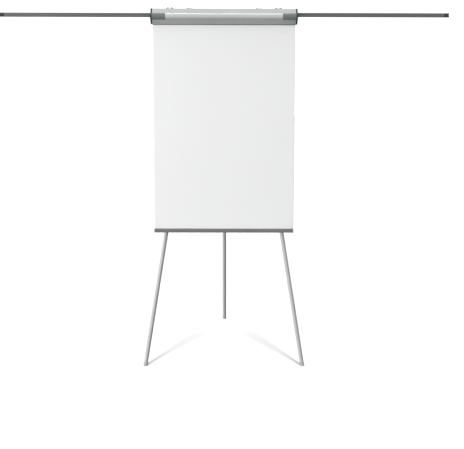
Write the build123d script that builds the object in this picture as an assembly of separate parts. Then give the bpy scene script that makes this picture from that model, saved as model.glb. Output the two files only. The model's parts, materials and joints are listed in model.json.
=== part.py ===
"""Tripod flipchart easel with a flip-up clamp head and two sliding extension arms.

Millimetres, +Z up, the easel faces -Y. The origin is on the floor at the middle of the footprint.
Board and head are drawn in the board's own upright frame (x right, y towards the back with the writing
face at y = 0, z up from the tray's top edge) and then leaned back. Each leg is drawn hanging down -Z from
its pivot and then swung out to its place.
"""

from build123d import *
from math import asin, atan2, cos, degrees, radians, sin
import os

# ---- driving dimensions ----
LEAN = 8.0                  # board leans back from upright, degrees
SPREAD = 9.35               # each front leg splays sideways, degrees
TRAY_HEIGHT = 718.0         # tray's top edge above the floor
FOOT_DEPTH = 760.0          # front feet line to the rear foot
SKIN = 0.6                  # steel of the board's face

BOARD_W = 700.0
BOARD_T = 18.0
BOARD_BOTTOM = -14.0
BOARD_TOP = 1037.0

TRAY_W = 690.0
TRAY_D = 34.0
TRAY_H = 18.0
TRAY_WALL = 1.8
TRAY_CAP = 3.0

RAIL_HALF = 352.0
RAIL_D = 32.0
RAIL_WALL = 2.0
RAIL_Z0 = BOARD_TOP
RAIL_TOP = 1070.0
CHANNEL_Z0 = RAIL_Z0 + RAIL_WALL
CHANNEL_H = 21.0
CHANNEL_W = 13.0
ARM_Z = CHANNEL_Z0 + CHANNEL_H / 2
FRONT_ARM_Y = RAIL_WALL + CHANNEL_W / 2
REAR_ARM_Y = FRONT_ARM_Y + CHANNEL_W + RAIL_WALL

HEAD_HALF = 359.0           # outer faces of the clamp's end caps
CAP_T = 8.0
CLAMP_HALF = HEAD_HALF - CAP_T
BLOCK_L = 65.0              # moulded blocks at the ends of the clamp's belly
CLAMP_WALL = 2.2
HEAD_TOP = 1075.5
JAW_Z = 1001.5
HINGE_X = 170.0
HINGE_Y = 14.0
HINGE_Z = 1076.8
HINGE_EAR_R = 6.2
HINGE_PIN_R = 2.5
HINGE_GAP = 0.06            # radial running clearance of small pins and studs

ARM_H = 19.0
ARM_T = 11.0
ARM_WALL = 1.4
ARM_OUT = 745.0             # arm beyond the head, at rest
ARM_IN = 50.0               # arm kept inside the rail, at rest
ARM_BUSH = ARM_IN - 0.3      # moulded guide bush in the mouth of each channel
ARM_TIP = 24.0

HOOK_X = 267.0
HOOK_W = 40.0
HOOK_SHEET = 2.0
STUD_Y = 24.5
WING_R = 18.8
STUD_R = 2.5
PEG_Z = 1046.5
PEG_R = 3.0
PEG_END = -11.0

PIVOT_X = 128.0
PIVOT_Z = 985.0
LEG_Y = 42.0                # front legs' plane behind the writing face
REAR_PIVOT_Y = 58.0
BOLT_R = 4.0
STOP_R = 3.0                # pin that stops the rear leg's swing
STOP_DROP = 14.0            # stop pin below the rear pivot, along the leg
UPPER_R = 12.5
LOWER_R = 10.0
TUBE_WALL = 1.2
EXPOSED_FRONT = 820.0       # lower tube below its collar, at rest
EXPOSED_REAR = 740.0
INSERTED = 240.0            # lower tube inside the upper tube, at rest
BUSH_L = 90.0               # guide bush round the top of the lower tube
COLLAR_R = 15.5
COLLAR_L = 34.0
SCREW_DROP = 9.0            # wing screw's axis above the collar's lower end
FOOT_R = 10.7
FOOT_L = 24.0

GUIDE_Z = 190.0
GUIDE_W = 25.0


# ---- small helpers ----
def block(x0, x1, y0, y1, z0, z1):
    """A box between two corners."""
    return Pos((x0 + x1) / 2, (y0 + y1) / 2, (z0 + z1) / 2) * Box(x1 - x0, y1 - y0, z1 - z0)


def rod(start, end, radius):
    """A cylinder between two points."""
    a, b = Vector(*start), Vector(*end)
    return Plane(origin=(a + b) / 2, z_dir=b - a) * Cylinder(radius, (b - a).length)


def section(points):
    """A face in the YZ plane from (y, z) corners."""
    return make_face(Polyline([(0, y, z) for y, z in points], close=True))


def run_x(face, x0, x1):
    """Extrudes a YZ face from x0 to x1."""
    return Pos(x0, 0, 0) * extrude(face, amount=x1 - x0, dir=(1, 0, 0))


def mirrored(shape, side):
    """The shape as drawn on the +X side, or its mirror image on the -X side."""
    return shape if side > 0 else mirror(shape, about=Plane.YZ)


def pan_head_screw(x, y, z, direction, shank=12.0):
    """A small screw: a domed head of 3.5 radius and a shank of 1.8 radius, along +Y or -Y."""
    head = rod((x, y, z), (x, y - direction * 2.2, z), 3.5)
    head = fillet(head.edges().filter_by(GeomType.CIRCLE).sort_by(Axis.Y)[0 if direction > 0 else -1], 1.2)
    return head + rod((x, y, z), (x, y + direction * shank, z), 1.8)


# ---- board ----
def panel_volume(inset):
    """The board's rounded slab, drawn in from its outside by inset."""
    half = BOARD_W / 2 - inset
    slab = block(-half, half, inset, BOARD_T, BOARD_BOTTOM + inset, BOARD_TOP - inset)
    slab = fillet(slab.edges().filter_by(Axis.Y), 7.0 - inset)
    return fillet(slab.edges().group_by(Axis.Y)[0], 2.4 - inset)


def board_parts(screws):
    """Steel face wrapped over a fibre core, with a thin back sheet inside the rim."""
    face = panel_volume(0.0) - panel_volume(SKIN)
    inside = panel_volume(SKIN)
    back_y = BOARD_T - SKIN
    core = inside & block(-400, 400, 0, back_y, -50, 1100)
    back = inside & block(-400, 400, back_y, BOARD_T, -50, 1100)
    for screw in screws:
        core -= screw
        back -= screw
        face -= screw
    return {"board_face": face, "board_core": core, "board_back": back}


# ---- pen tray ----
def tray_profile(grow=0.0):
    """The tray's outer outline, back wall against the board."""
    g = grow
    return [(0, g), (0, -TRAY_H - g), (4 - TRAY_D, -TRAY_H - g), (-TRAY_D - g, 4 - TRAY_H),
            (-TRAY_D - g, -1.2), (1.2 - TRAY_D, g)]


def tray_parts(screws):
    """A U-shaped extrusion across the board's foot, with moulded end caps."""
    w = TRAY_WALL
    trough = section([(-w, 5), (-w, w - TRAY_H), (4.6 - TRAY_D, w - TRAY_H), (w - TRAY_D, 4.6 - TRAY_H),
                      (w - TRAY_D, 5)])
    half = TRAY_W / 2
    tray = run_x(section(tray_profile()), -half, half) - run_x(trough, -half - 1, half + 1)
    for screw in screws:
        tray -= screw
    made = {"pen_tray": tray}
    plug = section([(-w - 0.1, -2), (-w - 0.1, w + 0.1 - TRAY_H), (4.8 - TRAY_D, w + 0.1 - TRAY_H),
                    (w + 0.1 - TRAY_D, 4.9 - TRAY_H), (w + 0.1 - TRAY_D, -2)])
    cap = run_x(section(tray_profile(0.7)), half, half + TRAY_CAP) + run_x(plug, half - 7, half)
    for side, name in SIDES:
        made[f"tray_end_cap_{name}"] = mirrored(cap, side)
    return made


# ---- head: fixed rail ----
def rail_parts(screws):
    """The rail on the board's top edge: two arm channels side by side under a slot for the hooks."""
    w, top_z = RAIL_WALL, CHANNEL_Z0 + CHANNEL_H + RAIL_WALL
    x = RAIL_HALF
    rail = block(-x, x, 0, RAIL_D, RAIL_Z0, RAIL_TOP)
    rail = fillet(rail.edges().filter_by(Axis.X), 1.0)
    for y in (FRONT_ARM_Y, REAR_ARM_Y):
        rail -= block(-x, x, y - CHANNEL_W / 2, y + CHANNEL_W / 2, CHANNEL_Z0, CHANNEL_Z0 + CHANNEL_H)
    rail -= block(-x, x, w, RAIL_D - w, top_z, RAIL_TOP - w)
    rail -= block(-x, x, STUD_Y - 2.8, STUD_Y + 2.8, RAIL_TOP - w - 1, RAIL_TOP + 1)
    rail += block(-x, x, BOARD_T, BOARD_T + w, RAIL_Z0 - 36, RAIL_Z0 + 1)
    for screw in screws:
        rail -= screw
    made = {"head_rail": rail}
    for side, name in SIDES:
        arm_y = FRONT_ARM_Y if side > 0 else REAR_ARM_Y
        fit_y, fit_z = CHANNEL_W / 2 - 0.1, CHANNEL_H / 2 - 0.1
        plate = block(x, x + 3, 0, RAIL_D, RAIL_Z0, RAIL_TOP)
        plate = fillet(plate.edges().filter_by(Axis.X), 3.0)
        for y in (FRONT_ARM_Y, REAR_ARM_Y):
            if y != arm_y:
                plate += block(x - 10, x, y - fit_y, y + fit_y, ARM_Z - fit_z, ARM_Z + fit_z)
        plate += block(x - ARM_BUSH, x, arm_y - fit_y, arm_y + fit_y, ARM_Z - fit_z, ARM_Z + fit_z)
        collar_y, collar_z = ARM_T / 2 + 1.9, ARM_H / 2 + 1.9
        collar = block(x + 3, x + 5.5, arm_y - collar_y, arm_y + collar_y, ARM_Z - collar_z, ARM_Z + collar_z)
        plate += fillet(collar.edges().filter_by(Axis.X), 2.0)
        hole_y, hole_z = ARM_T / 2 + 0.25, ARM_H / 2 + 0.25
        plate -= block(x - ARM_BUSH - 1, x + 9, arm_y - hole_y, arm_y + hole_y,
                       ARM_Z - hole_z, ARM_Z + hole_z)
        made[f"rail_end_plate_{name}"] = mirrored(plate, side)
    return made


# ---- head: flip-up clamp ----
NOSE = (-37.5, 1036.5)
BELLY_TOP = (-15.5, 1052.0)
BELLY_END = (-30.0, 1018.8)
GROOVE_END = (-24.0, 1018.4)
BLOCK_TOP = 1051.0
FLANGE_BACK = 4.0
FLANGE_BEND = (-7.0, HEAD_TOP)
LIP_END = (-4.0, JAW_Z)


def clamp_outline(lift=0.0):
    """The clamp's outside as a wire from the flange over the belly to the jaw, moved out by lift."""
    def at(point, up=1.0, out=1.0):
        return (0, point[0] - out * lift, point[1] + up * lift)
    flange = Line(at((FLANGE_BACK, HEAD_TOP), 1, 0), at(FLANGE_BEND, 1, 0.4))
    slope = Line(flange @ 1, at(BELLY_TOP, 0.7, 0.7))
    belly = ThreePointArc(slope @ 1, at(NOSE, 0, 1), at(BELLY_END, -0.8, 0.6))
    groove = Line(belly @ 1, at(GROOVE_END, -0.8, 0.6))
    lip = Line(groove @ 1, at(LIP_END, -0.7, 0.6))
    return [flange, slope, belly, groove, lip]


def clamp_band(outer, inner):
    """The closed band between the outline lifted by outer and by inner."""
    a, b = clamp_outline(outer), clamp_outline(inner)
    return make_face([*a, Line(a[-1] @ 1, b[-1] @ 1), *b, Line(a[0] @ 0, b[0] @ 0)])


def clamp_parts():
    """Aluminium clamp bar with moulded end blocks, end caps, a rubber jaw strip and its hinge leaves."""
    bar = run_x(clamp_band(0.0, -CLAMP_WALL), -CLAMP_HALF, CLAMP_HALF)
    x0 = CLAMP_HALF - BLOCK_L
    z0, z1 = BELLY_END[1], BLOCK_TOP
    window = block(x0, CLAMP_HALF + 1, -60, -8, z0, z1)
    bar = bar - window - mirror(window, about=Plane.YZ)
    made = {}
    belly = run_x(clamp_band(0.9, -CLAMP_WALL), x0, CLAMP_HALF) & block(x0, CLAMP_HALF, -60, -8, z0, z1)
    edge = clamp_outline(0.8)
    side_face = make_face([*edge, Polyline(edge[-1] @ 1, (0, -1.2, JAW_Z + 4), (0, -1.2, RAIL_TOP + 2.5),
                                           (0, FLANGE_BACK, RAIL_TOP + 2.5), edge[0] @ 0)])
    cap = run_x(side_face, CLAMP_HALF, HEAD_HALF)
    cap = fillet(cap.edges().filter_by(GeomType.LINE).group_by(Axis.X)[-1].sort_by(Axis.Y)[:1], 1.5)
    for side, name in SIDES:
        made[f"clamp_end_block_{name}"] = mirrored(belly, side)
        made[f"clamp_end_cap_{name}"] = mirrored(cap, side)
    strip = run_x(section([(-3.6, JAW_Z - 2), (-0.6, JAW_Z - 2), (-0.6, JAW_Z + 3.4), (-1.9, JAW_Z + 3.4),
                           (-3.6, JAW_Z + 0.2)]), -CLAMP_HALF + 2, CLAMP_HALF - 2)
    made["jaw_strip"] = strip - bar

    leaves, rivets, pins, brackets, springs = [], [], [], [], []
    under = HEAD_TOP - CLAMP_WALL
    for side in (-1, 1):
        x = side * HINGE_X
        barrel = rod((x - 10, HINGE_Y, HINGE_Z), (x - 1, HINGE_Y, HINGE_Z), 4.4)
        leaf = barrel + block(x - 10, x + 11, FLANGE_BEND[0] + 1.4, HINGE_Y - 6.5, under - 1.4, under)
        leaf += block(x - 10, x - 1, HINGE_Y - 7, HINGE_Y, under - 1.4, under)
        leaf -= rod((x - 20, HINGE_Y, HINGE_Z), (x + 20, HINGE_Y, HINGE_Z), HINGE_PIN_R + HINGE_GAP)
        for dx in (-6, 7):
            rivet = rod((x + dx, 0.5, under - 1.4), (x + dx, 0.5, HEAD_TOP), 1.5)
            rivet += rod((x + dx, 0.5, HEAD_TOP), (x + dx, 0.5, HEAD_TOP + 1.0), 2.8)
            leaf -= rivet
            bar -= rivet
            rivets.append(rivet)
        leaves.append(leaf)
        pins.append(rod((x - 14, HINGE_Y, HINGE_Z), (x + 14, HINGE_Y, HINGE_Z), HINGE_PIN_R))
        bracket = block(x - 13, x + 13, 7, 20.5, RAIL_TOP, RAIL_TOP + 1.5)
        for ear_x in (x - 13, x + 11):
            bracket += block(ear_x, ear_x + 2, 8, 20, RAIL_TOP, HINGE_Z)
            bracket += rod((ear_x, HINGE_Y, HINGE_Z), (ear_x + 2, HINGE_Y, HINGE_Z), HINGE_EAR_R)
        brackets.append(bracket - pins[-1])
        springs.append(torsion_spring(x))
    made.update(clamp_bar=bar, hinge_leaves=Compound(leaves), clamp_rivets=Compound(rivets),
                hinge_pins=Compound(pins), hinge_brackets=Compound(brackets),
                clamp_springs=Compound(springs))
    return made


def torsion_spring(x):
    """Closed coil round the hinge pin, with one straight leg over the clamp's flange."""
    wire, radius, pitch, turns = 0.65, 3.6, 1.45, 6
    helix = Helix(pitch, pitch * turns, radius)
    path = Pos(x + 0.3, HINGE_Y, HINGE_Z) * Rot(0, 90, 0) * Rot(0, 0, 180) * helix
    start = path @ 0
    coil = sweep(Plane(origin=start, z_dir=path % 0) * Circle(wire), path=path, is_frenet=True)
    leg_end = (start.X, FLANGE_BEND[0] + 5, HEAD_TOP + wire + 0.35)
    return coil + Pos(*start) * Sphere(wire) + rod(tuple(start), leg_end, wire)


# ---- head: pad hooks ----
def hook_parts():
    """Each pad hook straps over the rail and is held by a wing nut on a stud from the rail's slot."""
    made = {}
    z0 = RAIL_TOP + 0.3
    for side, name in SIDES:
        x = side * HOOK_X
        half = HOOK_W / 2
        strap = block(x - half, x + half, -0.5 - HOOK_SHEET, RAIL_D - 1, z0, z0 + HOOK_SHEET)
        strap += block(x - half + 6, x + half - 6, -0.5 - HOOK_SHEET, -0.5, PEG_Z - 9, z0 + HOOK_SHEET)
        peg = rod((x, -0.5 - HOOK_SHEET, PEG_Z), (x, PEG_END, PEG_Z), PEG_R)
        strap += fillet(peg.edges().sort_by(Axis.Y)[0], 1.0)
        strap -= rod((x, STUD_Y, z0 - 5), (x, STUD_Y, z0 + 5), STUD_R + 0.1)
        made[f"pad_hook_{name}"] = strap
        stud = rod((x, STUD_Y, RAIL_TOP - 6), (x, STUD_Y, HEAD_TOP + 5), STUD_R)
        stud += block(x - 7, x + 7, STUD_Y - 4.6, STUD_Y + 4.6, RAIL_TOP - 6.6, RAIL_TOP - 2.4)
        made[f"hook_stud_{name}"] = stud
        nut_z = z0 + HOOK_SHEET + 0.1
        nut = Pos(x, STUD_Y, nut_z + 3.6) * Cylinder(6.0, 7.2)
        wing = block(x + 4, x + WING_R, STUD_Y - 1.6, STUD_Y + 1.6, nut_z + 1.2, nut_z + 14.4)
        wing = fillet(wing.edges().filter_by(Axis.Y).group_by(Axis.Z)[-1].sort_by(Axis.X)[-1], 8.0)
        wing = fillet(wing.edges().filter_by(Axis.Y).group_by(Axis.Z)[0].sort_by(Axis.X)[-1], 5.0)
        nut += wing + Pos(x, STUD_Y, 0) * Rot(0, 0, 180) * Pos(-x, -STUD_Y, 0) * wing
        nut -= rod((x, STUD_Y, nut_z - 1), (x, STUD_Y, nut_z + 12), STUD_R + HINGE_GAP)
        made[f"hook_wing_nut_{name}"] = nut
    return made


# ---- extension arms ----
def arm_parts():
    """Each arm is a flat tube in its own channel, with a moulded tip and a stop that can't pass the bush."""
    made = {}
    for side, name in SIDES:
        y = FRONT_ARM_Y if side > 0 else REAR_ARM_Y
        x0, x1 = RAIL_HALF - ARM_IN, HEAD_HALF + ARM_OUT - ARM_TIP
        ht, hh = ARM_T / 2, ARM_H / 2
        tube = block(x0, x1, y - ht, y + ht, ARM_Z - hh, ARM_Z + hh)
        tube = fillet(tube.edges().filter_by(Axis.X), 1.6)
        bore_t, bore_h = ht - ARM_WALL, hh - ARM_WALL
        tube -= block(x0, x1, y - bore_t, y + bore_t, ARM_Z - bore_h, ARM_Z + bore_h)
        made[f"arm_tube_{name}"] = mirrored(tube, side)
        tip = block(x1, x1 + ARM_TIP, y - ht, y + ht, ARM_Z - hh, ARM_Z + hh)
        tip = fillet(tip.edges().filter_by(Axis.X), 2.2)
        tip -= rod((x1 + ARM_TIP + 9, y - 20, ARM_Z), (x1 + ARM_TIP + 9, y + 20, ARM_Z), 11.0)
        tip -= block(x1 + 1.6, x1 + 3.0, y - ht - 1, y - ht + 0.9, ARM_Z - hh - 1, ARM_Z + hh + 1)
        inner_t, inner_h = bore_t - 0.05, bore_h - 0.05
        tip += block(x1 - 14, x1, y - inner_t, y + inner_t, ARM_Z - inner_h, ARM_Z + inner_h)
        made[f"arm_tip_{name}"] = mirrored(tip, side)
        stop_t, stop_h = CHANNEL_W / 2 - 0.12, CHANNEL_H / 2 - 0.12
        stop = block(x0 - 6, x0, y - stop_t, y + stop_t, ARM_Z - stop_h, ARM_Z + stop_h)
        stop += block(x0, x0 + 18, y - inner_t, y + inner_t, ARM_Z - inner_h, ARM_Z + inner_h)
        made[f"arm_stop_{name}"] = mirrored(stop, side)
    return made


# ---- leg hub and spread guides on the board's back ----
def hub_parts(screws):
    """Hub plate with a clevis for the rear leg, spacers and bolts for the pivots, and a stop pin."""
    plate = block(-165, 165, BOARD_T, BOARD_T + 2.5, PIVOT_Z - 26, PIVOT_Z + 12)
    plate = fillet(plate.edges().filter_by(Axis.Y), 6.0)
    stop_y, stop_z = rear_stop()
    for ear_x in (-11.5, 9.0):
        ear = block(ear_x, ear_x + 2.5, BOARD_T, REAR_PIVOT_Y, PIVOT_Z - 12, PIVOT_Z + 10)
        ear += rod((ear_x, REAR_PIVOT_Y, PIVOT_Z - 1), (ear_x + 2.5, REAR_PIVOT_Y, PIVOT_Z - 1), 11.0)
        ear += block(ear_x, ear_x + 2.5, REAR_PIVOT_Y, stop_y, stop_z - 6, stop_z + 6)
        ear += rod((ear_x, stop_y, stop_z), (ear_x + 2.5, stop_y, stop_z), 6.0)
        plate += ear
    spacers, bolts = [], []
    for side in (-1, 1):
        x = side * PIVOT_X
        spacer = rod((x, BOARD_T + 2.5, PIVOT_Z), (x, LEG_Y - 6.2, PIVOT_Z), 8.0)
        bolt = rod((x, BOARD_T + 0.2, PIVOT_Z), (x, LEG_Y + 8, PIVOT_Z), BOLT_R)
        head = rod((x, LEG_Y + 8, PIVOT_Z), (x, LEG_Y + 11.5, PIVOT_Z), 7.5)
        washer = rod((x, LEG_Y + 6.2, PIVOT_Z), (x, LEG_Y + 8, PIVOT_Z), 9.0)
        bolt += fillet(head.edges().filter_by(GeomType.CIRCLE).sort_by(Axis.Y)[-1], 1.5) + washer
        spacers.append(spacer - bolt)
        bolts.append(bolt)
    rear = rod((-14, REAR_PIVOT_Y, PIVOT_Z), (14, REAR_PIVOT_Y, PIVOT_Z), BOLT_R)
    for end in (-1, 1):
        rear += rod((end * 11.5, REAR_PIVOT_Y, PIVOT_Z), (end * 15.5, REAR_PIVOT_Y, PIVOT_Z), 6.8)
    bolts += [rear, rod((-13, stop_y, stop_z), (13, stop_y, stop_z), STOP_R)]
    for cutter in [*bolts, *screws]:
        plate -= cutter
    return {"leg_hub": plate, "pivot_spacers": Compound(spacers), "pivot_bolts": Compound(bolts)}


def rear_stop():
    """(y, z) of the pin that the rear leg's plug rests on when the easel stands, in the board's frame."""
    turn = radians(rear_leg()[1] + LEAN)
    out = UPPER_R - 0.5 + STOP_R + 0.05
    return (REAR_PIVOT_Y + out * cos(turn) + STOP_DROP * sin(turn),
            PIVOT_Z + out * sin(turn) - STOP_DROP * cos(turn))


def guide_inner_x():
    return PIVOT_X - UPPER_R - 4.0


def guide_outer_x():
    """The upper tube rests just inside the guide's outer post when the leg is spread."""
    drop = PIVOT_Z - (GUIDE_Z - GUIDE_W / 2)
    return PIVOT_X + drop * sin(radians(SPREAD)) / cos(radians(SPREAD)) + UPPER_R / cos(radians(SPREAD)) + 0.5


def guide_parts(screws):
    """A hat-shaped steel strap behind each front leg, which keeps it to the board and stops its spread."""
    made = {}
    y1 = LEG_Y + UPPER_R + 2
    z0, z1 = GUIDE_Z - GUIDE_W / 2, GUIDE_Z + GUIDE_W / 2
    a, b, t = guide_inner_x(), guide_outer_x(), 2.0
    strap = block(a - t, b + t, y1, y1 + t, z0, z1)
    for post, foot in ((a - t, a - t - 20), (b, b)):
        strap += block(post, post + t, BOARD_T, y1 + t, z0, z1)
        strap += block(foot, foot + t + 20, BOARD_T, BOARD_T + t, z0, z1)
    for side, name in SIDES:
        guide = mirrored(strap, side)
        for screw in screws:
            guide -= screw
        made[f"spread_guide_{name}"] = guide
    return made


# ---- fasteners that hold things to the board ----
def back_screws():
    """Screws driven forward into the board's back: rail flange, hub and guides."""
    made = [pan_head_screw(x, BOARD_T + RAIL_WALL, RAIL_Z0 - 18, -1) for x in (-320, -210, 210, 320)]
    made += [pan_head_screw(x, BOARD_T + 2.5, PIVOT_Z - 14, -1) for x in (-152, -70, 70, 152)]
    for side in (-1, 1):
        for x in (guide_inner_x() - 13, guide_outer_x() + 13):
            made.append(pan_head_screw(side * x, BOARD_T + 2.0, GUIDE_Z, -1))
    return made


def tray_screws():
    """Screws driven back through the tray's rear wall into the board."""
    return [pan_head_screw(x, -TRAY_WALL, -8.0, 1, 11.0) for x in (-300, -100, 100, 300)]


# ---- legs ----
def leg_parts(length, exposed, name, plug_along_x):
    """One telescopic leg hanging down -Z from its pivot at the origin, wing screw towards +Y.

    The pivot's axis is Y for a front leg and X for the rear leg.
    """
    split = length - exposed            # the collar's lower end, below the pivot
    tube_end = split - SCREW_DROP * 2   # the upper tube stops above the screw
    tube_top = 26.0
    upper = rod((0, 0, -tube_top), (0, 0, -tube_end), UPPER_R)
    upper -= rod((0, 0, -tube_top + 1), (0, 0, -tube_end - 1), UPPER_R - TUBE_WALL)

    bore = UPPER_R - TUBE_WALL - 0.03
    tongue = 8.7 if plug_along_x else 6.0
    half_w = UPPER_R - 0.5
    head = rod((0, 0, -22), (0, 0, -60), bore) + rod((0, 0, -18), (0, 0, -tube_top), UPPER_R)
    flat = block(-tongue, tongue, -half_w, half_w, -24, 0) + rod((-tongue, 0, 0), (tongue, 0, 0), half_w)
    plug = head + (flat if plug_along_x else Rot(0, 0, 90) * flat)
    ends = ((-30, 0, 0), (30, 0, 0)) if plug_along_x else ((0, -30, 0), (0, 30, 0))
    plug -= rod(*ends, BOLT_R + 0.06)

    collar = rod((0, 0, -split + COLLAR_L), (0, 0, -split), COLLAR_R)
    collar = fillet(collar.edges().filter_by(GeomType.CIRCLE), 1.8)
    screw_z = -split + SCREW_DROP
    boss = rod((0, 8, screw_z), (0, 23, screw_z), 7.0)
    collar += fillet(boss.edges().filter_by(GeomType.CIRCLE).sort_by(Axis.Y)[-1], 1.0)
    collar -= rod((0, 0, -split + COLLAR_L + 1), (0, 0, -tube_end), UPPER_R)
    collar -= rod((0, 0, -tube_end + 1), (0, 0, -split - 1), LOWER_R + 0.08)
    collar -= rod((0, 0, screw_z), (0, 30, screw_z), 3.0 + HINGE_GAP)

    screw = rod((0, LOWER_R + 0.35, screw_z), (0, 25, screw_z), 3.0)
    screw += rod((0, 23.4, screw_z), (0, 36, screw_z), 6.8)
    for turn in (0, 180):
        wing = block(3, 19, 28, 45, -1.8, 1.8)
        wing = fillet(wing.edges().filter_by(Axis.Z).group_by(Axis.X)[-1], 5.5)
        screw += Pos(0, 0, screw_z) * Rot(0, turn, 0) * wing

    foot_z = -length
    lower = rod((0, 0, -split + INSERTED), (0, 0, foot_z + 6), LOWER_R)
    lower -= rod((0, 0, -split + INSERTED + 1), (0, 0, foot_z), LOWER_R - TUBE_WALL)
    top = -split + INSERTED
    guide = rod((0, 0, top - BUSH_L), (0, 0, top + 4), UPPER_R - TUBE_WALL - 0.12)
    guide -= rod((0, 0, top - BUSH_L - 1), (0, 0, top), LOWER_R)
    guide += rod((0, 0, top + 0.1), (0, 0, top - 18), LOWER_R - TUBE_WALL - 0.03)

    foot = rod((0, 0, foot_z - 5.5), (0, 0, foot_z + FOOT_L - 5.5), FOOT_R)
    foot = fillet(foot.edges().sort_by(Axis.Z)[0], 4.6)
    foot = fillet(foot.edges().sort_by(Axis.Z)[-1], 0.5)
    foot -= rod((0, 0, foot_z + 6), (0, 0, foot_z + FOOT_L), LOWER_R)
    foot += rod((0, 0, foot_z + 5.9), (0, 0, foot_z + 28), LOWER_R - TUBE_WALL - 0.03)
    return {f"leg_upper_tube_{name}": upper, f"leg_top_plug_{name}": plug, f"leg_collar_{name}": collar,
            f"leg_wing_screw_{name}": screw, f"leg_lower_tube_{name}": lower, f"leg_bush_{name}": guide,
            f"leg_foot_{name}": foot}


def board_frame():
    """Puts the board's own frame in the easel's frame, before the footprint is centred."""
    return Pos(0, 0, TRAY_HEIGHT) * Rot(-LEAN, 0, 0)


def front_leg_length():
    """From pivot to floor along a front leg's axis."""
    height = TRAY_HEIGHT + PIVOT_Z * cos(radians(LEAN)) - LEG_Y * sin(radians(LEAN))
    return height / (cos(radians(SPREAD)) * cos(radians(LEAN)))


def front_foot_y():
    run = PIVOT_Z - front_leg_length() * cos(radians(SPREAD))
    return run * sin(radians(LEAN)) + LEG_Y * cos(radians(LEAN))


def rear_leg():
    """(length, swing from upright in degrees) of the rear leg, from its pivot to its foot."""
    y = PIVOT_Z * sin(radians(LEAN)) + REAR_PIVOT_Y * cos(radians(LEAN))
    z = TRAY_HEIGHT + PIVOT_Z * cos(radians(LEAN)) - REAR_PIVOT_Y * sin(radians(LEAN))
    dy = front_foot_y() + FOOT_DEPTH - y
    return (dy * dy + z * z) ** 0.5, degrees(atan2(dy, z))


def leg_frames():
    """Where each leg's pivot frame goes, before the footprint is centred."""
    frames = {name: board_frame() * Pos(side * PIVOT_X, LEG_Y, PIVOT_Z) * Rot(0, -side * SPREAD, 0)
              for side, name in SIDES}
    hub = board_frame() * Pos(0, REAR_PIVOT_Y, PIVOT_Z)
    frames["rear"] = Pos(*hub.position) * Rot(rear_leg()[1], 0, 0)
    return frames


SIDES = ((-1, "left"), (1, "right"))


def all_parts():
    """Every piece in the easel's frame, by node name."""
    from_back, from_front = back_screws(), tray_screws()
    local = {}
    local.update(board_parts([*from_back, *from_front]))
    local.update(tray_parts(from_front))
    local.update(rail_parts(from_back))
    local.update(clamp_parts())
    local.update(hook_parts())
    local.update(arm_parts())
    local.update(hub_parts(from_back))
    local.update(guide_parts(from_back))
    local["panel_screws"] = Compound([*from_back, *from_front])
    placed = {name: board_frame() * shape for name, shape in local.items()}
    below_floor = block(-2000, 2000, -2000, 2000, -200, 0)
    for name, frame in leg_frames().items():
        rear = name == "rear"
        length, exposed = (rear_leg()[0], EXPOSED_REAR) if rear else (front_leg_length(), EXPOSED_FRONT)
        for node, shape in leg_parts(length, exposed, name, rear).items():
            placed[node] = frame * shape
        placed[f"leg_foot_{name}"] -= below_floor
    return placed


def footprint_shift(placed):
    """How far the easel moves along Y so that the origin is at the middle of its depth."""
    boxes = [shape.bounding_box() for shape in placed.values()]
    return -(min(b.min.Y for b in boxes) + max(b.max.Y for b in boxes)) / 2


if __name__ == "__main__":
    os.makedirs("parts", exist_ok=True)
    placed = all_parts()
    shift = Pos(0, footprint_shift(placed), 0)
    for name, shape in placed.items():
        export_step(shift * shape, f"parts/{name}.step")
    print(len(placed), "nodes, shift", round(footprint_shift(placed), 3))
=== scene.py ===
"""Looks for the flipchart easel: studio, camera and one procedural material for every kind of surface."""

import json
from math import cos, pi, radians, sin

import bpy
from mathutils import Matrix, Vector

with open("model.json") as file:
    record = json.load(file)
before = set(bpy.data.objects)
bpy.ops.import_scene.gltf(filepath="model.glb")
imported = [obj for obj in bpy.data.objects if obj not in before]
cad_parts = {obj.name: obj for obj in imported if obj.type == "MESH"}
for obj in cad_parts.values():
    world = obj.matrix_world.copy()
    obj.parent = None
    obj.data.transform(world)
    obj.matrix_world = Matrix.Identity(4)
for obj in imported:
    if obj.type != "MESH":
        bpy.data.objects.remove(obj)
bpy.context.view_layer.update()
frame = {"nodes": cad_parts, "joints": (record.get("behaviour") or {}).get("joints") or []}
nodes = frame["nodes"]

SIDES = ("left", "right")
LEGS = ("left", "right", "rear")


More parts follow.
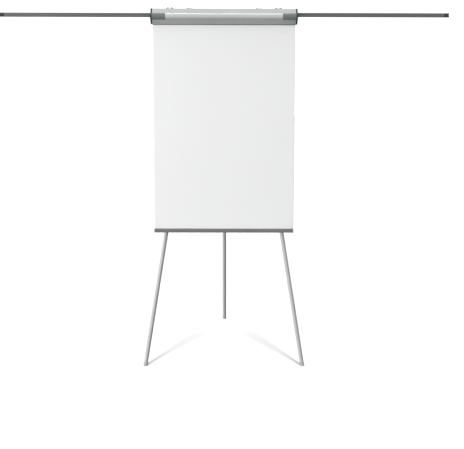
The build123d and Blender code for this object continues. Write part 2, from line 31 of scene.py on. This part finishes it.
# ---- node helpers ----
class Shader:
    """A material under construction: a Principled shader and short ways to add nodes to it."""

    def __init__(self, name, roughness=0.5, metallic=0.0, **sockets):
        self.material = bpy.data.materials.new(name)
        self.material.use_nodes = True
        self.tree = self.material.node_tree
        self.tree.nodes.clear()
        self.surface = self.node("ShaderNodeBsdfPrincipled")
        output = self.node("ShaderNodeOutputMaterial")
        self.link(self.surface.outputs["BSDF"], output.inputs["Surface"])
        self.surface.inputs["Roughness"].default_value = roughness
        self.surface.inputs["Metallic"].default_value = metallic
        for socket, value in sockets.items():
            self.surface.inputs[socket.replace("_", " ")].default_value = value
        places = self.node("ShaderNodeTexCoord").outputs
        self.coordinates, self.facing = places["Object"], places["Normal"]

    def node(self, kind, **settings):
        made = self.tree.nodes.new(kind)
        for key, value in settings.items():
            setattr(made, key, value)
        return made

    def link(self, source, target):
        self.tree.links.new(source, target)

    def stretched(self, scale, axis=(1.0, 0.0, 0.0)):
        """Object coordinates turned so that axis is X, then scaled along the turned X, Y and Z."""
        turn = Vector(axis).rotation_difference(Vector((1.0, 0.0, 0.0))).to_euler()
        mapping = self.node("ShaderNodeMapping")
        mapping.inputs["Rotation"].default_value = turn
        sized = self.node("ShaderNodeVectorMath", operation="MULTIPLY")
        sized.inputs[1].default_value = scale
        self.link(self.coordinates, mapping.inputs["Vector"])
        self.link(mapping.outputs["Vector"], sized.inputs[0])
        return sized.outputs["Vector"]

    def noise(self, scale, detail=3.0, roughness=0.5, vector=None, distortion=0.0):
        made = self.node("ShaderNodeTexNoise")
        made.inputs["Scale"].default_value = scale
        made.inputs["Detail"].default_value = detail
        made.inputs["Roughness"].default_value = roughness
        made.inputs["Distortion"].default_value = distortion
        self.link(vector or self.coordinates, made.inputs["Vector"])
        return made.outputs["Fac"]

    def spread(self, value, low, high, from_low=0.3, from_high=0.7):
        """Maps a noise value to the range low to high."""
        made = self.node("ShaderNodeMapRange")
        made.inputs["From Min"].default_value = from_low
        made.inputs["From Max"].default_value = from_high
        made.inputs["To Min"].default_value = low
        made.inputs["To Max"].default_value = high
        self.link(value, made.inputs["Value"])
        return made.outputs["Result"]

    def tint(self, value, dark, light):
        """Colour between dark and light by a 0 to 1 value."""
        made = self.node("ShaderNodeMix", data_type="RGBA")
        made.inputs["A"].default_value = (*dark, 1.0)
        made.inputs["B"].default_value = (*light, 1.0)
        self.link(value, made.inputs["Factor"])
        return made.outputs["Result"]

    def add(self, a, b, operation="ADD"):
        made = self.node("ShaderNodeMath", operation=operation)
        self.link(a, made.inputs[0])
        self.link(b, made.inputs[1])
        return made.outputs["Value"]

    def with_painted_highlight(self, color, painted_highlight):
        """The colour, but with a pale painted highlight on surfaces that face up or back, where the tray's
        trough catches light.
        """
        split = self.node("ShaderNodeSeparateXYZ")
        self.link(self.facing, split.inputs["Vector"])
        made = self.node("ShaderNodeMix", data_type="RGBA")
        self.link(color, made.inputs["A"])
        made.inputs["B"].default_value = (*painted_highlight, 1.0)
        # Mask of the painted highlight: faces whose normal points up or back.
        facing = [self.spread(split.outputs[axis], 0.0, 1.0, 0.80, 0.92) for axis in "YZ"]
        self.link(self.add(*facing, "MAXIMUM"), made.inputs["Factor"])
        return made.outputs["Result"]

    def color(self, source):
        self.link(source, self.surface.inputs["Base Color"])

    def rough(self, source):
        self.link(source, self.surface.inputs["Roughness"])

    def bump(self, height, strength, distance):
        made = self.node("ShaderNodeBump")
        made.inputs["Strength"].default_value = strength
        made.inputs["Distance"].default_value = distance
        self.link(height, made.inputs["Height"])
        self.link(made.outputs["Normal"], self.surface.inputs["Normal"])


def scaled(rgb, factor):
    return tuple(min(1.0, c * factor) for c in rgb)


# ---- materials ----
def lacquered_board(name, rgb):
    """Glossy dry-wipe lacquer: nearly even white, with faint wiped haze and a slight orange peel."""
    s = Shader(name, Coat_Weight=0.25, Coat_Roughness=0.15)
    wiped = s.noise(1.6, 4.0, 0.6, s.stretched((1.0, 1.0, 2.4)), 0.8)
    fine = s.noise(90.0, 2.0)
    s.color(s.tint(s.spread(wiped, 0.0, 1.0), scaled(rgb, 0.990), rgb))
    s.rough(s.add(s.spread(wiped, 0.27, 0.32), s.spread(fine, 0.0, 0.03)))
    s.bump(s.noise(420.0, 2.0), 0.06, 0.0002)
    return s.material


def extruded_metal(name, rgb, axis, metallic=1.0, roughness=0.34, grain=1.0):
    """Satin anodised extrusion: drawing lines along its length, soft blotches and a few handling marks."""
    s = Shader(name, metallic=metallic)
    lines = s.noise(1.0, 5.0, 0.65, s.stretched((6.0, 900.0, 900.0), axis))
    blotch = s.noise(7.0, 3.0, 0.55)
    marks = s.noise(34.0, 6.0, 0.75, s.stretched((0.6, 1.0, 1.0), axis), 1.2)
    tone = s.add(s.spread(lines, 0.0, 0.55 * grain), s.spread(blotch, 0.0, 0.45))
    s.color(s.tint(tone, scaled(rgb, 0.90), scaled(rgb, 1.05)))
    worn = s.spread(marks, 0.0, 0.12, 0.60, 0.72)
    s.rough(s.add(s.spread(lines, roughness - 0.05, roughness + 0.08), worn))
    s.bump(lines, 0.03 * grain, 0.0002)
    return s.material


def powder_coat(name, rgb, roughness=0.5, sheen_break=0.08, painted_highlight=None):
    """Sprayed coat on metal: orange-peel bump, a little unevenness in its gloss, perhaps a pale painted
    highlight on faces that look up or back.
    """
    s = Shader(name, Coat_Weight=0.08, Coat_Roughness=0.4)
    peel = s.noise(650.0, 3.0, 0.6)
    cloud = s.noise(9.0, 4.0, 0.6)
    scuff = s.noise(55.0, 8.0, 0.8, s.stretched((0.35, 1.0, 1.0)), 1.5)
    tone = s.add(s.spread(cloud, 0.0, 0.6), s.spread(scuff, 0.0, 0.4, 0.58, 0.74))
    coat = s.tint(tone, scaled(rgb, 0.92), scaled(rgb, 1.14))
    s.color(s.with_painted_highlight(coat, painted_highlight) if painted_highlight else coat)
    s.rough(s.add(s.spread(cloud, roughness - 0.04, roughness + 0.04), s.spread(scuff, 0.0, sheen_break)))
    s.bump(peel, 0.22, 0.0004)
    return s.material


def moulded_plastic(name, rgb, roughness=0.55, grain=700.0, depth=0.25):
    """Injection-moulded plastic: spark-eroded grain, faint flow marks and lighter rubbed patches."""
    s = Shader(name, IOR=1.49)
    texture = s.noise(grain, 4.0, 0.7)
    flow = s.noise(22.0, 3.0, 0.5, s.stretched((0.4, 1.0, 1.0)), 0.7)
    rubbed = s.noise(70.0, 5.0, 0.7)
    tone = s.add(s.spread(flow, 0.0, 0.5), s.spread(rubbed, 0.0, 0.5, 0.52, 0.74))
    s.color(s.tint(tone, scaled(rgb, 0.90), scaled(rgb, 1.20)))
    s.rough(s.add(s.spread(texture, roughness - 0.05, roughness + 0.05), s.spread(rubbed, 0.0, -0.10)))
    s.bump(texture, depth, 0.0003)
    return s.material


def plated_steel(name, rgb, roughness=0.30):
    """Zinc plating: crystalline mottling between cool and warm grey."""
    s = Shader(name, metallic=1.0)
    crystal = s.node("ShaderNodeTexVoronoi")
    crystal.inputs["Scale"].default_value = 240.0
    s.link(s.coordinates, crystal.inputs["Vector"])
    haze = s.noise(60.0, 4.0, 0.6)
    warm = (rgb[0] * 1.03, rgb[1], rgb[2] * 0.94)
    s.color(s.tint(s.spread(haze, 0.0, 1.0), scaled(rgb, 0.86), warm))
    s.rough(s.add(s.spread(crystal.outputs["Distance"], roughness - 0.06, roughness + 0.08, 0.0, 1.0),
                  s.spread(haze, 0.0, 0.10)))
    s.bump(haze, 0.08, 0.0002)
    return s.material


def soft_rubber(name, rgb):
    """Matt rubber with dust in its pores."""
    s = Shader(name, roughness=0.8, IOR=1.45)
    pores = s.noise(900.0, 3.0, 0.6)
    dust = s.noise(40.0, 5.0, 0.7)
    s.color(s.tint(s.spread(dust, 0.0, 1.0, 0.45, 0.8), rgb, scaled(rgb, 1.5)))
    s.rough(s.spread(dust, 0.72, 0.88))
    s.bump(pores, 0.35, 0.0003)
    return s.material


def pressed_board(name, rgb):
    """Edge and face of a pressed fibre filling."""
    s = Shader(name, roughness=0.85)
    fibres = s.noise(160.0, 8.0, 0.8, s.stretched((0.3, 1.0, 1.0)))
    s.color(s.tint(s.spread(fibres, 0.0, 1.0), scaled(rgb, 0.75), scaled(rgb, 1.15)))
    s.bump(fibres, 0.5, 0.0005)
    return s.material


def leg_axis(name):
    """Direction of a leg's slide joint, which runs along its tubes."""
    return next(joint["axis"] for joint in frame["joints"] if joint["name"] == f"leg_slide_{name}")


def dress(material, *names):
    """Puts one material on CAD nodes."""
    for name in names:
        slots = nodes[name].data.materials
        slots.clear()
        slots.append(material)


def both(name):
    return [f"{name}_{side}" for side in SIDES]


def on_legs(name):
    return [f"{name}_{leg}" for leg in LEGS]


ACROSS = (1.0, 0.0, 0.0)
dress(lacquered_board("lacquer_white", (0.812, 0.815, 0.817)), "board_face")
dress(pressed_board("board_filling", (0.46, 0.37, 0.26)), "board_core")
dress(powder_coat("back_sheet_grey", (0.50, 0.51, 0.52), 0.55), "board_back")
dress(extruded_metal("aluminium_head", (0.56, 0.58, 0.575), ACROSS, 0.9, 0.33), "clamp_bar", "head_rail")
# The pen tray's top and back faces get a pale painted highlight in place of the light they catch.
dress(powder_coat("tray_grey", (0.165, 0.165, 0.16), 0.42, painted_highlight=(0.86, 0.87, 0.87)), "pen_tray")
dress(moulded_plastic("tray_cap_grey", (0.25, 0.25, 0.245)), *both("tray_end_cap"))
dress(powder_coat("arm_grey", (0.103, 0.112, 0.109), 0.40), *both("arm_tube"))
dress(moulded_plastic("end_block_grey", (0.135, 0.155, 0.155), 0.35), *both("clamp_end_block"))
dress(moulded_plastic("plate_grey", (0.44, 0.45, 0.45), 0.45), *both("rail_end_plate"))
dress(moulded_plastic("plastic_black", (0.022, 0.024, 0.025), 0.50), *both("clamp_end_cap"), *both("arm_tip"),
      *both("arm_stop"), *on_legs("leg_collar"), *on_legs("leg_top_plug"), *on_legs("leg_bush"),
      "pivot_spacers")
dress(moulded_plastic("knob_grey", (0.20, 0.21, 0.21), 0.45), *on_legs("leg_wing_screw"))
dress(moulded_plastic("nut_grey", (0.46, 0.47, 0.47), 0.45), *both("hook_wing_nut"))
dress(moulded_plastic("foot_grey", (0.44, 0.45, 0.445), 0.5), *on_legs("leg_foot"))
dress(soft_rubber("jaw_rubber", (0.03, 0.03, 0.031)), "jaw_strip")
dress(powder_coat("steel_black", (0.03, 0.031, 0.033), 0.45), "leg_hub", "hinge_leaves", "hinge_brackets",
      *both("spread_guide"))
dress(plated_steel("zinc_steel", (0.55, 0.56, 0.57)), "clamp_rivets", "hinge_pins", "clamp_springs",
      "pivot_bolts", "panel_screws", *both("pad_hook"), *both("hook_stud"))
for leg in LEGS:
    tube = extruded_metal(f"leg_silver_{leg}", (0.575, 0.59, 0.585), leg_axis(leg), 0.6, 0.36, 0.7)
    dress(tube, f"leg_upper_tube_{leg}", f"leg_lower_tube_{leg}")


# ---- studio ----
SUN_DIRECTION = (0.0, 0.174, -1.0)
SUN_SOFTNESS = 4.5             # degrees across, which blurs the shadows away from the feet
front_legs = [nodes[f"leg_{part}_{side}"] for part in ("upper_tube", "lower_tube", "foot") for side in SIDES]


def studio_white(name, paint, glow):
    """Matt, all but even paint that also glows of itself."""
    s = Shader(name, roughness=0.9, Specular_IOR_Level=0.0, Emission_Strength=glow)
    s.surface.inputs["Emission Color"].default_value = (1.0, 1.0, 1.0, 1.0)
    grey = (paint, paint, paint)
    s.color(s.tint(s.spread(s.noise(3.0), 0.0, 1.0), scaled(grey, 0.997), scaled(grey, 1.003)))
    return s.material


def turned_sheet(name, profile, material, filled=False, around=64):
    """A sheet swept round Z through (radius, height) points, with its first ring filled in if asked.

    The easel neither mirrors it nor gets any light back from it.
    """
    rows = [[(r * cos(t), r * sin(t), z) for t in (2.0 * pi * k / around for k in range(around))]
            for r, z in profile]
    faces = [tuple(range(around))] if filled else []
    for low in range(0, (len(rows) - 1) * around, around):
        for k in range(around):
            a, b = low + k, low + (k + 1) % around
            faces.append((a, b, b + around, a + around))
    mesh = bpy.data.meshes.new(name)
    mesh.from_pydata([point for row in rows for point in row], [], faces)
    mesh.materials.append(material)
    made = bpy.data.objects.new(name, mesh)
    made.visible_diffuse = False
    made.visible_glossy = False
    bpy.context.scene.collection.objects.link(made)
    return made


def floor():
    """A pale round floor that sweeps up into a glowing wall far away; the wall's top takes no light away."""
    reach, bend, low_wall, high_wall = 16.0, 2.0, 4.5, 24.0
    turn = [radians(15.0 * k) for k in range(7)]
    sweep = [(reach + bend * sin(a), bend * (1.0 - cos(a))) for a in turn]
    wall_white = studio_white("studio_wall", 0.10, 1.12)
    ground = turned_sheet("floor", [(reach, 0.0)], studio_white("studio_floor", 0.59, 0.03), filled=True)
    low = turned_sheet("low_wall", sweep + [(reach + bend, low_wall)], wall_white)
    high = turned_sheet("high_wall", [(reach + bend, low_wall), (reach + bend, high_wall)], wall_white)
    high.visible_shadow = False
    return ground, low, high


def light_up(name, light, place, target, mirrored=False):
    """Puts a light at place, aimed at target. Unless mirrored, shiny surfaces don't show it."""
    made = bpy.data.objects.new(name, light)
    made.location = place
    made.rotation_euler = (Vector(target) - Vector(place)).to_track_quat("-Z", "Y").to_euler()
    made.visible_glossy = mirrored
    bpy.context.scene.collection.objects.link(made)
    return made


def grouped(name, members):
    """A collection outside the scene that only names objects for a light."""
    group = bpy.data.collections.new(name)
    for member in members:
        group.objects.link(member)
    return group


def overhead_sun(name, towards, strength, softness, blockers, lit=()):
    """A far light, softness degrees wide, shadowed by blockers only and shining on lit only, if given."""
    light = bpy.data.lights.new(name, "SUN")
    light.energy = strength
    light.angle = radians(softness)
    made = light_up(name, light, (0.0, 0.0, 0.0), towards)
    made.light_linking.blocker_collection = grouped(f"{name}_blockers", blockers)
    if lit:
        made.light_linking.receiver_collection = grouped(f"{name}_lit", lit)


def surroundings(level, leftwards, forwards, upwards):
    """An even room that grows brighter to the left, to the front of the easel and overhead."""
    world = bpy.data.worlds.new("studio")
    bpy.context.scene.world = world
    world.use_nodes = True
    tree = world.node_tree
    where = tree.nodes.new("ShaderNodeTexCoord")
    slope = tree.nodes.new("ShaderNodeVectorMath")
    slope.operation = "DOT_PRODUCT"
    slope.inputs[1].default_value = (-leftwards, -forwards, upwards)
    total = tree.nodes.new("ShaderNodeMath")
    total.inputs[1].default_value = level
    tree.links.new(where.outputs["Generated"], slope.inputs[0])
    tree.links.new(slope.outputs["Value"], total.inputs[0])
    tree.links.new(total.outputs["Value"], tree.nodes["Background"].inputs["Strength"])
    tree.nodes["Background"].inputs["Color"].default_value = (1.0, 1.0, 1.0, 1.0)


def panel(name, place, target, size, power, mirrored=False):
    """A soft rectangular light; size is its width along X and its depth."""
    light = bpy.data.lights.new(name, "AREA")
    light.shape = "RECTANGLE"
    light.size, light.size_y = size
    light.energy = power
    light_up(name, light, place, target, mirrored)


def camera(place, yaw, pitch, roll, lens, shift):
    """Yaw to the left, pitch down and roll, in degrees; lens in millimetres on a 36 mm wide sensor."""
    data = bpy.data.cameras.new("camera")
    data.sensor_fit, data.sensor_width = "HORIZONTAL", 36.0
    data.lens = lens
    data.shift_x, data.shift_y = shift
    data.clip_end = 200.0
    made = bpy.data.objects.new("camera", data)
    turn = (Matrix.Rotation(radians(yaw), 4, "Z") @ Matrix.Rotation(radians(90.0 - pitch), 4, "X")
            @ Matrix.Rotation(radians(roll), 4, "Z"))
    made.matrix_world = Matrix.Translation(place) @ turn
    bpy.context.scene.collection.objects.link(made)
    bpy.context.scene.camera = made


ground = floor()
surroundings(level=0.67, leftwards=0.50, forwards=0.20, upwards=0.34)
overhead_sun("sun", SUN_DIRECTION, 1.2, SUN_SOFTNESS, front_legs)
overhead_sun("floor_sun", SUN_DIRECTION, 1.4, SUN_SOFTNESS, front_legs, ground)
panel("side_fill", place=(-1.6, -1.25, 1.5), target=(-0.2, -0.2, 1.2), size=(0.8, 0.8), power=6.5)
panel("top_strip", place=(0.0, 0.75, 4.4), target=(0.0, -0.17, 1.75), size=(3.2, 0.5), power=22.0,
      mirrored=True)
camera(place=(0.018, -4.294, 1.60), yaw=-0.335, pitch=15.12, roll=0.16, lens=62.4, shift=(0.0, 0.0874))
bpy.context.scene.view_settings.view_transform = "Standard"
